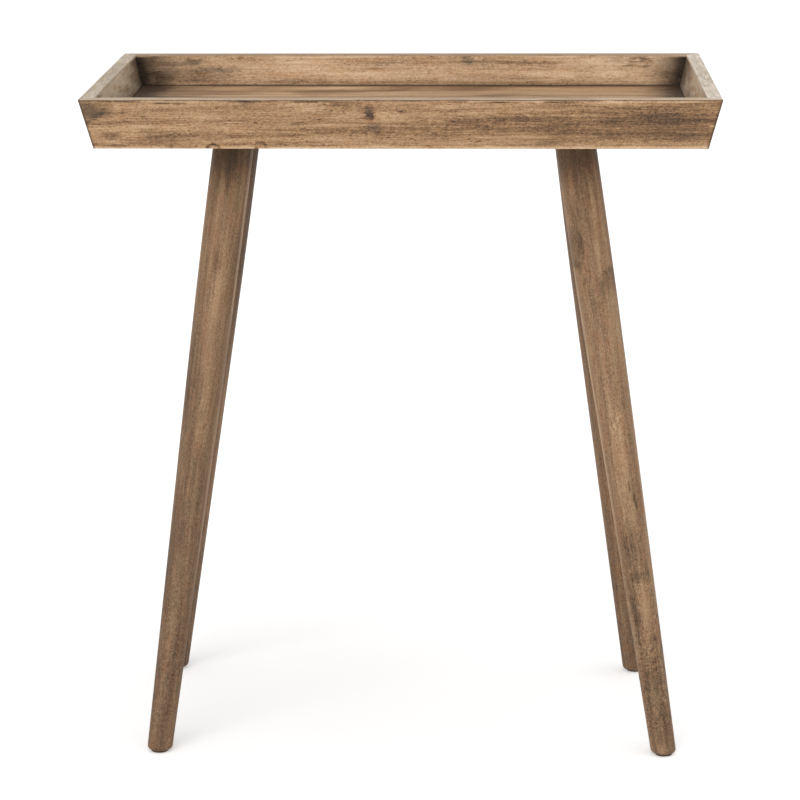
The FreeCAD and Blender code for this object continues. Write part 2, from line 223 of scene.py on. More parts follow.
def brushed_grain(board):
    """Pale to dark of brushed softwood: grit, fibres, streaks and bands, each drawn out along the board."""
    sand = board.noise(board.wood, (1.5, 1.0, 1.0), detail=1.0, rough=0.6)
    bands = board.noise(board.flow, (360.0, 11.0, 11.0), detail=2.0, rough=0.5)
    tone = 0.85 * (board.grit - 0.5) + 0.4 * (sand - 0.5) + 0.46 * (board.fibres - 0.5)
    return tone + 0.52 * (board.streaks - 0.5) + 0.55 * (bands - 0.5)


THIN_SMUDGE = 2.5
BROAD_SMUDGE = 12.0


def board_stains(board, smudges, knots, rings):
    """What clouds, smudges, knots and rings add to the tone, to the grey glaze and to the relief.

    A smudge has its place along and up the board, its reach both ways, and how dark and how grey it is; one
    that is less than 0 dark is a pale place. A knot has a dark core with a halo, and a ring a dark edge.
    """
    tone = 0.1 * board.clouds.between(0.48, 0.3) - 0.16 * board.clouds.between(0.52, 0.75)
    grime = 0.2 * board.clouds.between(0.55, 0.75)
    relief = 0.0
    streaky = 0.5 + (0.5 * board.streaks + 0.5 * board.fibres).between(0.54, 0.44)
    for middle, reach, dark, grey in smudges:
        if reach[1] < THIN_SMUDGE:
            mark = board.spot(board.fine, middle, reach)
            tone = tone - dark * mark * streaky
        elif reach[0] > BROAD_SMUDGE:
            mark = board.spot(board.loose, middle, reach)
            tone = tone - dark * mark
        else:
            mark = board.spot(board.firm, middle, reach)
            tone = tone - dark * mark * streaky
        grime = grime + grey * mark
    for middle, reach in knots:
        halo = board.spot(board.loose, middle, (reach[0] * 2.4, reach[1] * 1.8))
        core = board.spot(board.loose, middle, reach)
        tone = tone - 0.14 * halo - 0.42 * core
        grime = grime + 0.3 * core
        relief = relief - 0.15 * core
    for middle, reach in rings:
        outer = board.spot(board.firm, middle, reach, core=0.75)
        inner = board.spot(board.firm, middle, (reach[0] * 0.6, reach[1] * 0.6), core=0.6)
        edge = (outer - inner).most(0.0) * (0.25 + board.patchy.between(0.4, 0.6))
        tone = tone - 0.34 * edge - 0.08 * outer
    return tone, grime, relief


def edge_wear(board):
    """What wear adds to the tone: a dark outer arris, rubbed and chipped stretches, a pale lower edge."""
    stretch = board.noise(board.wood, (90.0, 200.0, 200.0), detail=2.0)
    rubbed = board.drop.between(4.2, 3.0) * board.drop.between(1.2, 2.2)
    chips = board.drop.between(8.0, 4.0) * board.blot.between(0.06, 0.16)
    foot_rise = board.rise + (FLOOR_LEVEL - BOARD_FOOT_LEVEL) + 3.0 * (board.patchy - 0.5)
    arris = (0.25 + 0.25 * board.patchy.between(0.4, 0.6)) * board.arris * board.outside
    tone = 0.26 * foot_rise.between(5.0, 1.0) - arris
    return tone + 0.26 * rubbed * stretch.between(0.46, 0.6) - 0.26 * chips * stretch.between(0.54, 0.42)


def glaze_and_painted_shade(board, fade):
    """Glaze and painted shade together: a dark share in corners and joints, and a black share in their
    depth.

    The corners on the right are a little lighter. A fade is the stretch, from front to back, over
    which an end board gets darker towards its far corner, painted shade with the glaze.
    """
    outer_half = board.half - board.drop * FLARE_SLOPE
    mitre = (outer_half - board.position + 3.0 * board.blot).between(3.4, 1.2) * board.outside
    gap = outer_half - RIM_WIDTH - board.position
    lighter_right = board.world[0].most(0.0) * 0.03
    corner = gap + lighter_right + 40.0 * (board.clouds - 0.5) + 40.0 * board.blot
    mottled = (0.84 + 1.5 * board.blot).least(0.96).most(0.35)
    seam = (board.rise + 14.0 * (board.patchy - 0.5)).between(9.0, 1.0)
    inner = (corner.between(60.0, 12.0) * mottled).most(seam * 0.3)
    if fade:
        far = (board.world[1] + 150.0 * (board.clouds - 0.5)).between(*fade)
        low = (board.rise + 24.0 * (board.patchy - 0.5)).between(26.0, 2.0)
        inner = inner.most(far * 0.8).most(low * 0.5)
    deep = (gap + 26.0 * board.blot).between(15.0, 2.0).most(board.rise.between(2.0, 0.9))
    under_rim = board.drop.between(1.0, 3.5)
    # Painted shade with the glaze: corners, joints and the seam at the floor are darkened.
    dark = (inner * board.inside).most(mitre * 0.6) * under_rim.most(board.outside)
    return dark, 0.78 * deep * board.inside * under_rim


BOARD_STOPS = [
    (0.00, shade("2b1f16")),
    (0.20, shade("5a4430")),
    (0.40, shade("8b694a")),
    (0.56, shade("af8962")),
    (0.72, shade("c9a37d")),
    (1.00, shade("e6c8a5")),
]
RED_TINT = (1.0, 0.88, 0.8, 1.0)
GREY_GLAZE = shade("665646")
# These two glazes also carry painted shade in the tray's corners and joints.
DARK_GLAZE_AND_SHADE = shade("2e1f14")
BLACK_GLAZE_AND_SHADE = shade("180f09")
# Greys for the painted sheen of the inner faces, a grazing reflection of the pale room.
INSIDE_SHEEN_GREYS = (shade("b9a68b"), shade("faecd6"))


def tray_wood(board, tones, rim_shades, gloss, smudges, knots, rings=(), fade=None):
    """Weathered board: brushed grain, then stains, wear, a greyed inner face, a brushed rim,
    glaze and painted shade.

    The tones are those of the outer and the inner face and the share of grey inside. The inner face's
    lighter tone is painted light and its grey a painted sheen; the rim's pale grey is partly painted light
    of a lit top.
    """
    grain = brushed_grain(board)
    stain, grime, dents = board_stains(board, smudges, knots, rings)
    # The inner face's lighter tone is painted light, where it turns towards the lamps.
    tone = tones[0] + (tones[1] - tones[0]) * board.inside + grain - 0.34 * board.specks
    colour = board.ramp(tone + stain + edge_wear(board), BOARD_STOPS)
    hue = board.noise(board.wood, (20.0, 8.0, 8.0), detail=3.0, rough=0.6)
    colour = board.mix(hue.between(0.45, 0.7) * 0.5, colour, RED_TINT, blend="MULTIPLY")
    colour = board.mix(grime.least(0.7), colour, GREY_GLAZE)
    # Painted sheen: the inner face is greyed as by a grazing reflection.
    greyed = board.mix((0.5 + 1.3 * grain).least(1.0).most(0.0), *INSIDE_SHEEN_GREYS)
    colour = board.mix(board.inside * tones[2] * board.patchy.between(0.2, 0.7), colour, greyed)

    # The rim is painted pale and grey: partly the brushed wood, partly painted light and sheen of a lit
    # top.
    light = board.fibres.between(0.4, 0.6) * 0.35 + board.patchy.between(0.35, 0.65) * 0.4
    light = light + board.position.between(board.half - 180.0, board.half - 20.0) * 0.25
    brushed = board.mix(light, *rim_shades)
    rim = (board.drop.between(1.2, 0.5) * 0.85).most(board.arris * board.inside * 0.35)
    colour = board.mix(rim * (1.0 - 0.5 * board.specks), colour, brushed)

    # Glaze and painted shade in the corners and joints.
    dark, black = glaze_and_painted_shade(board, fade)
    colour = board.mix(dark, colour, DARK_GLAZE_AND_SHADE)
    colour = board.mix(black, colour, BLACK_GLAZE_AND_SHADE)
    roughness = 0.55 + 0.25 * (board.fibres - 0.5) + 0.15 * board.specks + 0.2 * board.inside
    relief = 0.06 * board.fibres + 0.09 * board.grit + 0.04 * board.streaks - 0.16 * board.specks + dents
    return board.surface(colour, roughness, relief, bump=0.8, Specular_IOR_Level=gloss)


FRONT_SMUDGES = [
    ((-338.0, 53.0), (32.0, 12.0), 0.2, 0.5),
    ((-330.0, 40.0), (18.0, 13.0), 0.2, 0.5),
    ((-314.0, 43.0), (17.0, 14.0), 0.16, 0.2),
    ((-331.0, 30.0), (7.0, 3.5), 0.25, 0.2),
    ((-323.0, 36.0), (7.0, 3.5), 0.25, 0.2),
    ((-315.0, 42.0), (7.0, 3.5), 0.25, 0.2),
    ((-293.5, 41.3), (5.0, 1.8), 0.35, 0.2),
    ((-272.0, 36.3), (5.0, 1.8), 0.3, 0.2),
    ((-307.0, 15.8), (18.0, 7.0), 0.14, 0.25),
    ((-242.0, 14.6), (36.0, 5.0), 0.02, 0.04),
    ((-300.0, 3.0), (16.0, 4.0), 0.16, 0.2),
    ((-243.0, 3.2), (4.0, 4.0), 0.3, 0.1),
    ((-250.0, 51.8), (14.0, 2.2), 0.4, 0.2),
    ((-231.0, 51.2), (12.0, 2.4), 0.4, 0.2),
    ((-318.0, 53.2), (26.0, 2.4), 0.2, 0.0),
    ((-265.0, 53.2), (60.0, 2.4), 0.36, 0.1),
    ((-175.0, 53.2), (60.0, 2.4), 0.36, 0.1),
    ((-85.0, 53.2), (60.0, 2.4), 0.36, 0.1),
    ((110.0, 53.2), (40.0, 2.4), 0.36, 0.0),
    ((165.0, 53.2), (40.0, 2.4), 0.3, 0.0),
    ((228.0, 53.2), (40.0, 2.4), -0.24, 0.0),
    ((-100.0, 47.0), (60.0, 7.0), -0.18, 0.0),
    ((138.0, 36.0), (60.0, 9.0), 0.24, 0.0),
    ((165.0, 26.0), (50.0, 8.0), 0.18, 0.0),
    ((-180.0, 15.0), (110.0, 7.0), 0.13, 0.0),
    ((-305.0, 15.0), (22.0, 6.0), 0.08, 0.0),
    ((-305.0, 6.0), (24.0, 4.0), -0.08, 0.0),
    ((-175.0, 6.0), (36.0, 4.0), 0.08, 0.0),
    ((140.0, 6.6), (20.0, 4.0), -0.12, 0.0),
    ((-162.0, 52.0), (12.0, 4.0), 0.3, 0.2),
    ((-110.0, 28.0), (12.0, 3.0), 0.2, 0.1),
    ((-108.0, 15.0), (16.0, 3.0), 0.26, 0.1),
    ((-80.0, 21.0), (90.0, 4.0), 0.14, 0.0),
    ((-33.0, 46.0), (7.0, 8.0), 0.12, 0.25),
    ((-27.0, 24.0), (11.0, 9.0), 0.06, 0.45),
    ((2.7, 42.0), (6.0, 2.0), 0.35, 0.1),
    ((50.0, 22.0), (150.0, 7.0), 0.18, 0.0),
    ((95.0, 31.0), (90.0, 12.0), 0.16, 0.0),
    ((30.0, 3.0), (10.0, 3.0), 0.2, 0.0),
    ((105.0, 53.0), (16.0, 2.0), 0.3, 0.0),
    ((147.0, 53.0), (8.0, 2.0), -0.3, 0.0),
    ((250.0, 27.0), (150.0, 27.0), 0.27, 0.0),
    ((290.0, 30.0), (70.0, 22.0), 0.08, 0.0),
    ((262.0, 33.0), (90.0, 7.0), 0.03, 0.0),
    ((250.0, 14.0), (80.0, 6.0), 0.1, 0.0),
    ((215.0, 51.0), (40.0, 5.0), -0.14, 0.0),
    ((330.0, 25.8), (6.0, 2.0), -0.3, 0.0),
]
FRONT_KNOTS = [
    ((-32.0, 38.6), (7.0, 8.0)),
]
FRONT_RINGS = [
    ((-198.0, 1.0), (8.0, 6.0)),
    ((-148.0, 3.0), (8.0, 7.0)),
]
FRONT_RIM = (shade("a0876d"), shade("d8c0a5"))
front_board = BoardFinish("front_board_wood", (-FLARE, 0.0, 0.0), along=0, plank_start=0.0)
front_wood = tray_wood(
    front_board, tones=(0.585, 0.62, 0.1), rim_shades=FRONT_RIM, gloss=0.35,
    smudges=FRONT_SMUDGES, knots=FRONT_KNOTS, rings=FRONT_RINGS)
dress("tray_front_board", front_wood)


# Tray back board: the twin of the front board, seen from inside over the front rim.
# Glaze and painted shade darken its lower corners, and knots show along its upper half.

BACK_SMUDGES = [
    ((278.0, 42.0), (24.0, 6.0), 0.2, 0.3),
    ((252.0, 45.0), (26.0, 5.0), 0.2, 0.3),
    ((292.0, 26.0), (22.0, 9.0), 0.2, 0.3),
    ((213.0, 35.0), (60.0, 4.0), 0.16, 0.1),
    ((214.0, 34.0), (30.0, 18.0), 0.1, 0.04),
    ((140.0, 22.0), (64.0, 4.0), 0.2, 0.1),
    ((-24.5, 50.5), (6.0, 2.0), 0.3, 0.0),
    ((-67.0, 46.0), (10.0, 9.0), 0.24, 0.3),
    ((-77.0, 47.5), (5.0, 3.0), -0.25, 0.0),
    ((-145.0, 42.0), (50.0, 5.0), 0.2, 0.2),
    ((-190.0, 29.0), (90.0, 6.0), -0.16, 0.0),
    ((60.0, 30.0), (70.0, 5.0), -0.14, 0.0),
    ((20.0, 42.0), (80.0, 4.0), 0.14, 0.1),
    ((190.0, 46.0), (60.0, 3.5), 0.16, 0.1),
    ((-264.0, 42.5), (11.0, 3.0), 0.3, 0.2),
    ((-255.0, 39.0), (11.0, 3.0), 0.26, 0.1),
    ((-284.0, 39.0), (22.0, 8.0), 0.12, 0.1),
    ((-240.0, 46.0), (26.0, 6.0), 0.12, 0.2),
    ((-300.0, 30.0), (30.0, 5.0), 0.2, 0.2),
    ((-245.0, 40.0), (90.0, 28.0), -0.26, 0.0),
    ((-190.0, 28.0), (60.0, 10.0), -0.14, 0.0),
    ((252.0, 31.0), (58.0, 17.0), 0.26, 0.1),
    ((248.0, 24.0), (60.0, 6.0), 0.14, 0.1),
    ((258.0, 43.0), (18.0, 5.0), 0.24, 0.2),
    ((125.0, 40.0), (55.0, 16.0), -0.16, 0.0),
    ((20.0, 52.0), (220.0, 6.0), -0.16, 0.0),
    ((-95.0, 43.0), (60.0, 5.0), 0.18, 0.0),
]
BACK_KNOTS = [
    ((-273.0, 46.0), (7.0, 4.0)),
]
BACK_RINGS = [
    ((-270.0, 44.0), (18.0, 8.0)),
]
BACK_RIM = (shade("8a7763"), shade("ae9a82"))
back_board = BoardFinish("back_board_wood", (FLARE, 0.0, math.pi), along=0, plank_start=700.0)
# The back board's inner face is painted lighter, where it turns up towards the lamps.
back_wood = tray_wood(
    back_board, tones=(0.59, 0.715, 0.2), rim_shades=BACK_RIM, gloss=0.2,
    smudges=BACK_SMUDGES, knots=BACK_KNOTS, rings=BACK_RINGS)
dress("tray_back_board", back_wood)


# Tray ends: the two short sides, of the same board, mitred to the long ones and nailed through them.
# Their inner faces are painted paler and greyer, for the light and sheen they catch, and darker
# towards the far corners, painted shade with the glaze.

END_TONES = (0.57, 0.72, 0.95)
END_GLOSS = 0.12
END_FADE = (30.0, 172.0)
LEFT_RIM = (shade("998b77"), shade("dccfbd"))
LEFT_SMUDGES = [((60.0, 30.0), (60.0, 12.0), 0.16, 0.3)]
LEFT_KNOTS = [((-70.0, 22.0), (6.0, 5.0))]
RIGHT_RIM = (shade("b3a48d"), shade("f8f0e4"))
RIGHT_SMUDGES = [((-40.0, 20.0), (70.0, 10.0), 0.16, 0.3)]
RIGHT_KNOTS = [((85.0, 36.0), (6.0, 5.0))]
left_end = BoardFinish("left_end_wood", (0.0, FLARE, math.pi / 2), along=1, plank_start=1400.0)
left_wood = tray_wood(
    left_end, tones=END_TONES, rim_shades=LEFT_RIM, gloss=END_GLOSS,
    smudges=LEFT_SMUDGES, knots=LEFT_KNOTS, fade=END_FADE)
dress("tray_left_end", left_wood)
right_end = BoardFinish("right_end_wood", (0.0, -FLARE, -math.pi / 2), along=1, plank_start=2100.0)
right_wood = tray_wood(
    right_end, tones=END_TONES, rim_shades=RIGHT_RIM, gloss=END_GLOSS,
    smudges=RIGHT_SMUDGES, knots=RIGHT_KNOTS, fade=END_FADE)
dress("tray_right_end", right_wood)


# Tray floor: one smooth panel whose tongue sits in the grooves of the four sides.
# Its grain runs along the tray, and glaze with painted shade darkens it near the sides.

PANEL_INSET = RIM_WIDTH + (RIM_LEVEL - FLOOR_LEVEL) * FLARE_SLOPE
PANEL_HALF_LENGTH = TRAY_HALF_WIDTH - PANEL_INSET
PANEL_HALF_WIDTH = TRAY_HALF_DEPTH - PANEL_INSET
SHEET_START = (37.0, 11.0, 5.0)
DARKENING_OFF_CENTRE = 6.0
FLOOR_STOPS = [
    (0.00, shade("3b2c20")),
    (0.30, shade("765c45")),
    (0.55, shade("9f7e5e")),
    (0.80, shade("bb9a78")),
    (1.00, shade("d6b892")),
]
FLOOR_SMUDGES = [
    ((42.0, 142.0), (95.0, 50.0), 0.2),
    ((78.0, 152.0), (70.0, 28.0), 0.22),
    ((-105.0, 156.0), (95.0, 26.0), -0.3),
    ((-212.0, 108.0), (65.0, 28.0), 0.3),
]


def floor_wood():
    """Smooth panel: long straight bands and fine fibres, darker towards the four sides, glaze and painted
    shade.

    A smudge has its place along and across the panel from its middle, its reach, and how dark it is. The
    darkening lies a little off centre, and a painted shadow makes the left end darker still.
    """
    finish = Finish(bpy.data.materials.new("floor_panel_wood"))
    panel = finish.place(shift=SHEET_START)
    across, into, level = finish.axes(finish.place())
    drift = finish.noise(panel, (500.0, 120.0, 60.0), detail=1.0, output="Color")
    flow = finish.pushed(panel, drift, (0.0, 30.0, 0.0))
    bands = finish.noise(flow, (800.0, 18.0, 18.0), detail=4.0, rough=0.65)
    fibres = finish.noise(flow, (60.0, 1.6, 1.6), detail=3.0, rough=0.6)
    grit = finish.noise(flow, (5.0, 2.0, 2.0), detail=3.0, rough=0.7)
    clouds = finish.noise(panel, (120.0, 60.0, 60.0), detail=4.0, rough=0.6)
    blot = finish.noise(panel, (16.0, 10.0, 10.0), detail=4.0, rough=0.7) - 0.5
    pores = finish.noise(flow, (9.0, 0.9, 0.9), detail=0.0).between(0.68, 0.8)
    tone = 0.66 + 1.35 * (bands - 0.5) + 0.68 * (fibres - 0.5) + 0.4 * (grit - 0.5) - 0.2 * pores
    tone = tone - 0.28 * clouds.between(0.45, 0.7)
    stood_up = finish.place((math.pi / 2, 0.0, 0.0))
    for middle, reach, dark in FLOOR_SMUDGES:
        tone = tone - dark * finish.spot(stood_up, middle, reach)

    # Glaze and painted shade near the sides, and a painted shadow at the left end.
    end_gap = PANEL_HALF_LENGTH + DARKENING_OFF_CENTRE - abs(across - DARKENING_OFF_CENTRE)
    end_glaze_and_shade = (end_gap + 40.0 * (clouds - 0.5) + 40.0 * blot).between(66.0, 14.0) * 0.95
    left_painted_shadow = (across + PANEL_HALF_LENGTH + 50.0 * (clouds - 0.5)).between(110.0, 30.0) * 0.5
    side_glaze_and_shade = (PANEL_HALF_WIDTH - abs(into) + 16.0 * blot).between(14.0, 2.0) * 0.5
    upper = level.between(FLOOR_LEVEL - 2.0, FLOOR_LEVEL)
    colour = finish.ramp(tone, FLOOR_STOPS)
    hue = finish.noise(flow, (90.0, 12.0, 12.0), detail=3.0, rough=0.6)
    colour = finish.mix(hue.between(0.45, 0.7) * 0.4, colour, RED_TINT, blend="MULTIPLY")
    colour = finish.mix(end_glaze_and_shade.most(left_painted_shadow).most(side_glaze_and_shade) * upper, colour, DARK_GLAZE_AND_SHADE)
    roughness = 0.56 + 0.2 * (fibres - 0.5)
    relief = 0.05 * fibres - 0.08 * pores
    return finish.surface(colour, roughness, relief, bump=0.6, Specular_IOR_Level=0.15)


dress("tray_floor", floor_wood())


# Corner brads: thin finish nails through the mitres, two to a corner, set and filled over.
# They are drawn steel wire with a bright zinc coat, as are the screws and bolts below.

def zinc_coat(name, shades, rough):
    """Zinc plate on steel: a cloudy passivated colour, fine scratches and uneven gloss."""
    finish = Finish(bpy.data.materials.new(name))
    point = finish.place()
    clouds = finish.noise(point, (7.0, 7.0, 7.0), detail=3.0, rough=0.6)
    grit = finish.noise(point, (0.5, 0.5, 0.5), detail=2.0)
    rubbed = finish.noise(point, (0.35, 6.0, 6.0), detail=2.0)
    colour = finish.mix(clouds.between(0.3, 0.7), *shades)
    roughness = rough + 0.25 * (clouds - 0.5) + 0.2 * (rubbed - 0.5)
    relief = 0.02 * grit + 0.02 * rubbed
    return finish.surface(colour, roughness, relief, bump=0.4, Metallic=1.0)


FASTENER_SHADES = (shade("b5b3ad"), shade("d0cdc4"))
fastener_zinc = zinc_coat("fastener_zinc", FASTENER_SHADES, rough=0.34)
dress("corner_brads", fastener_zinc)


# Cleats: two unfinished sawn blocks screwed up under the floor, each of which carries two legs.
# The wood is pale and shows the saw's fine ridges across its grain.

CLEAT_STOPS = [
    (0.00, shade("6f4f33")),
    (0.35, shade("a67f55")),
    (0.65, shade("c7a073")),
    (1.00, shade("dcbd92")),
]
CLEAT_STAIN = shade("7a5a3d")


def sawn_wood():
    """Raw block: growth rings seen from the side, and saw ridges square to them."""
    finish = Finish(bpy.data.materials.new("cleat_sawn_wood"))
    point = finish.place()
    drift = finish.noise(point, (60.0, 160.0, 40.0), detail=2.0, output="Color")
    flow = finish.pushed(point, drift, (14.0, 0.0, 8.0))
    rings = finish.noise(flow, (4.0, 300.0, 4.0), detail=2.0)
    fibres = finish.noise(flow, (0.9, 30.0, 0.9), detail=3.0)
    ridges = finish.noise(point, (60.0, 1.6, 60.0), detail=1.0)
    stain = finish.noise(point, (30.0, 45.0, 30.0), detail=3.0)
    tone = 0.52 + 0.8 * (rings - 0.5) + 0.4 * (fibres - 0.5) + 0.25 * (ridges - 0.5)
    colour = finish.ramp(tone, CLEAT_STOPS)
    colour = finish.mix(stain.between(0.52, 0.75) * 0.45, colour, CLEAT_STAIN)
    roughness = 0.68 + 0.2 * (fibres - 0.5)
    relief = 0.12 * fibres + 0.14 * ridges
    return finish.surface(colour, roughness, relief, Specular_IOR_Level=0.3)


cleat_wood = sawn_wood()
dress("left_cleat", cleat_wood)
dress("right_cleat", cleat_wood)


# Cleat screws: countersunk wood screws with a cross drive, four to a cleat.
# They are the same zinc-plated steel as the nails.

dress("cleat_screws", fastener_zinc)


# Leg plates: pressed steel squares with a threaded boss that points along the leg.
# Each is zinc plated and held to its cleat by four countersunk screws.

CORNERS = ("front_left", "front_right", "back_left", "back_right")
PLATE_SHADES = (shade("a9a8a3"), shade("c6c4bc"))
plate_zinc = zinc_coat("leg_plate_zinc", PLATE_SHADES, rough=0.4)
for corner in CORNERS:
    dress("leg_plate_" + corner, plate_zinc)
dress("plate_screws", fastener_zinc)


# Legs: turned from solid wood, parallel at the top and tapered to a rounded foot, stained darker.
# Each screws onto its plate by a hanger bolt in its top, and the grain runs down it.

LEFT = -1
RIGHT = 1
FRONT = -1
BACK = 1
LEG_TOP = (188.0, 49.0, 683.0)
LEG_FOOT = (284.0, 146.5, 2.5)
FOOT_RACK = 8.0
BACK_FOOT_INSET = 4.0
LEG_RADIUS = 22.5
LEG_TAPER = 0.0155
TAPER_START = -148.0
BLANK_STEP = (90.0, 57.0, 310.0)


class LegFinish(Finish):
    """The finish of one leg, with the places and the noises that its layers share.

    The leg's axis runs from its top at the plate to its foot at the glide. A point on the leg lies across
    it from that axis and up it from the plate, so its height is less than 0. The wood is the same point in
    a larger block, each leg from another blank in it. The loose and firm points are pushed about, which
    gives the stains their ragged edges.
    """

    def __init__(self, name, side_x, side_y, blank):
        super().__init__(bpy.data.materials.new(name))
        top = Vector((side_x * LEG_TOP[0], side_y * LEG_TOP[1], LEG_TOP[2]))
        spread = LEG_FOOT[0] - (BACK_FOOT_INSET if side_y == BACK else 0.0)
        foot = Vector((side_x * spread - side_y * FOOT_RACK, side_y * LEG_FOOT[1], LEG_FOOT[2]))
        up = (top - foot).normalized()
        tilt_x = math.atan2(up.y, up.z)
        tilt_y = -math.atan2(up.x, math.hypot(up.y, up.z))
        turning = Matrix.Rotation(tilt_y, 3, "Y") @ Matrix.Rotation(tilt_x, 3, "X")
        leg = self.place((tilt_x, tilt_y, 0.0), tuple(-(turning @ top)))
        beside, _, self.height = self.axes(leg)
        self.inwards = -side_x * beside

        self.wood = self.shifted(leg, tuple(blank * step for step in BLANK_STEP))
        self.clouds = self.noise(self.wood, (22.0, 22.0, 70.0), detail=4.0, rough=0.6)
        ragged = self.noise(self.wood, (4.0, 4.0, 9.0), detail=4.0, rough=0.75, output="Color")
        self.broken = self.axes(ragged)[1].between(0.42, 0.6)
        self.loose = self.pushed(leg, ragged, (7.0, 0.0, 14.0))
        self.firm = self.pushed(leg, ragged, (5.0, 0.0, 8.0))

        drift = self.noise(self.wood, (40.0, 40.0, 150.0), detail=2.0, output="Color")
        self.flow = self.pushed(self.wood, drift, (16.0, 16.0, 0.0))
        self.grit = self.noise(self.flow, (1.4, 1.4, 2.5), detail=3.0, rough=0.75)
        self.fibres = self.noise(self.flow, (1.2, 1.2, 30.0), detail=2.0, rough=0.6)
        self.streaks = self.noise(self.flow, (3.4, 3.4, 120.0), detail=3.0, rough=0.6)
        field = self.noise(self.wood, (12.0, 12.0, 44.0), detail=2.0).between(0.42, 0.62)
        self.specks = self.noise(self.flow, (1.4, 1.4, 4.0), detail=1.0).between(0.62, 0.74) * field


def turned_grain(leg, mottling, calm):
    """Pale to dark of turned wood: grit, fibres, streaks and bands down the leg, and curled mottling.

    The mottling grows towards the foot, and a calm place, with its middle and its reach, has little of it.
    """
    bands = leg.noise(leg.flow, (11.0, 11.0, 300.0), detail=2.0, rough=0.5)
    tone = 0.55 * (leg.grit - 0.5) + 0.26 * (leg.fibres - 0.5) + 0.34 * (leg.streaks - 0.5)
    tone = tone + 0.44 * (bands - 0.5) + 0.16 * (leg.clouds - 0.5) - 0.14 * leg.specks
    mottled = mottling * (0.3 + 0.7 * leg.height.between(-400.0, -560.0))
    for middle, reach in calm:
        mottled = mottled * (1.0 - 0.85 * leg.spot(leg.loose, middle, reach, core=0.4))
    sand = leg.noise(leg.wood, (1.2, 1.2, 1.2), detail=1.0, rough=0.6)
    curl = leg.noise(leg.wood, (5.0, 5.0, 5.5), detail=3.0, rough=0.65, swirl=1.4)
    flecks = curl.between(0.5, 0.36) * (0.4 + 0.6 * leg.broken) - 0.6 * curl.between(0.52, 0.66)
    return tone + (0.36 + 0.7 * mottled) * (sand - 0.5) + mottled * (0.12 - 0.75 * flecks)


def leg_stains(leg, smudges, arches, ripples):
    """What smudges, arches and ripples add to the tone and to the olive glaze.

    A smudge has its place across and up the leg, its reach, and how dark and how grey it is. An arch is the
    ragged, dark-edged end of a stain, with the heights over which it comes in below its upper end and above
    its lower one. A ripple is a place where the grain runs in small pointed waves.
    """
    tone = 0.0
    grime = 0.3 * leg.clouds.between(0.58, 0.75)
    streaky = 0.7 + 0.3 * (0.5 * leg.streaks + 0.5 * leg.fibres).between(0.54, 0.44)
    for middle, reach, dark, grey in smudges:
        mark = leg.spot(leg.loose, middle, reach)
        tone = tone - 0.75 * dark * mark * streaky
        grime = grime + grey * mark
    for middle, reach, upper, lower in arches:
        stain = leg.spot(leg.firm, middle, reach, core=0.8)
        stain = stain * leg.height.between(*upper) * leg.height.between(*lower)
        core = leg.spot(leg.firm, middle, (reach[0] * 0.75, reach[1] * 0.8), core=0.6)
        tone = tone - 0.05 * stain - 0.14 * stain * (1.0 - core) * leg.broken
        grime = grime + 0.36 * stain * (0.5 + 0.6 * leg.broken)
    for middle, reach in ripples:
        side, _, rise = leg.axes(leg.firm)
        pointed = leg.node("CombineXYZ", {}, {0: 0.3 * side, 2: rise - 0.9 * abs(side - middle[0])})
        waves = leg.noise(pointed, (1.0, 1.0, 2.4), detail=2.0)
        tone = tone + 1.1 * (waves - 0.5) * leg.spot(leg.loose, middle, reach, core=0.3)
    return tone, grime


def painted_edge_highlight(leg):
    """Pale line down the inner side of a front leg's upper part: a painted highlight on the edge."""
    radius = LEG_RADIUS + LEG_TAPER * (leg.height - TAPER_START).least(0.0)
    line = (leg.inwards - radius).between(-2.6, -0.8) * leg.height.between(-520.0, -420.0)
    return 0.2 * line * leg.streaks.between(0.3, 0.5)


LEG_STOPS = [
    (0.00, shade("241b13")),
    (0.20, shade("4c3a2a")),
    (0.40, shade("7a5f48")),
    (0.56, shade("99795b")),
    (0.74, shade("b69472")),
    (1.00, shade("d8bc97")),
]
# An olive glaze that also carries the painted shade at the tops of the legs.
OLIVE_GLAZE_AND_SHADE = shade("4d4131")
OLIVE_TINT = (0.92, 0.99, 0.96, 1.0)


def leg_wood(leg, tones, mottling, smudges=(), arches=(), ripples=(), calm=(), edge=0.0):
    """Turned leg: grain, stains, a painted highlight line down one edge, and a top darkened by
    painted shade under the tray.

    The tones are those near its top, half way and at its foot.
    """
    stain, grime = leg_stains(leg, smudges, arches, ripples)
    # Painted shade: the leg is darker and greyer just under the tray.
    shaded = (leg.height + 26.0 * (leg.clouds - 0.5)).between(-62.0, -12.0)
    tone = tones[0] + (tones[1] - tones[0]) * leg.height.between(-120.0, -340.0)
    tone = tone + (tones[2] - tones[1]) * leg.height.between(-360.0, -620.0)
    # The edge term is a painted highlight line.
    tone = tone + turned_grain(leg, mottling, calm) + stain + edge - 0.22 * shaded
    colour = leg.ramp(tone, LEG_STOPS)
    hue = leg.noise(leg.wood, (9.0, 9.0, 26.0), detail=3.0, rough=0.6)
    colour = leg.mix(hue.between(0.48, 0.66) * 0.7, colour, RED_TINT, blend="MULTIPLY")
    colour = leg.mix(hue.between(0.48, 0.34) * 0.7, colour, OLIVE_TINT, blend="MULTIPLY")
    colour = leg.mix((grime + 0.35 * shaded).least(0.7), colour, OLIVE_GLAZE_AND_SHADE)
    roughness = 0.5 + 0.25 * (leg.fibres - 0.5) + 0.15 * leg.specks
    relief = 0.05 * leg.fibres + 0.07 * leg.grit - 0.14 * leg.specks
    return leg.surface(colour, roughness, relief, bump=0.6, Specular_IOR_Level=0.25)
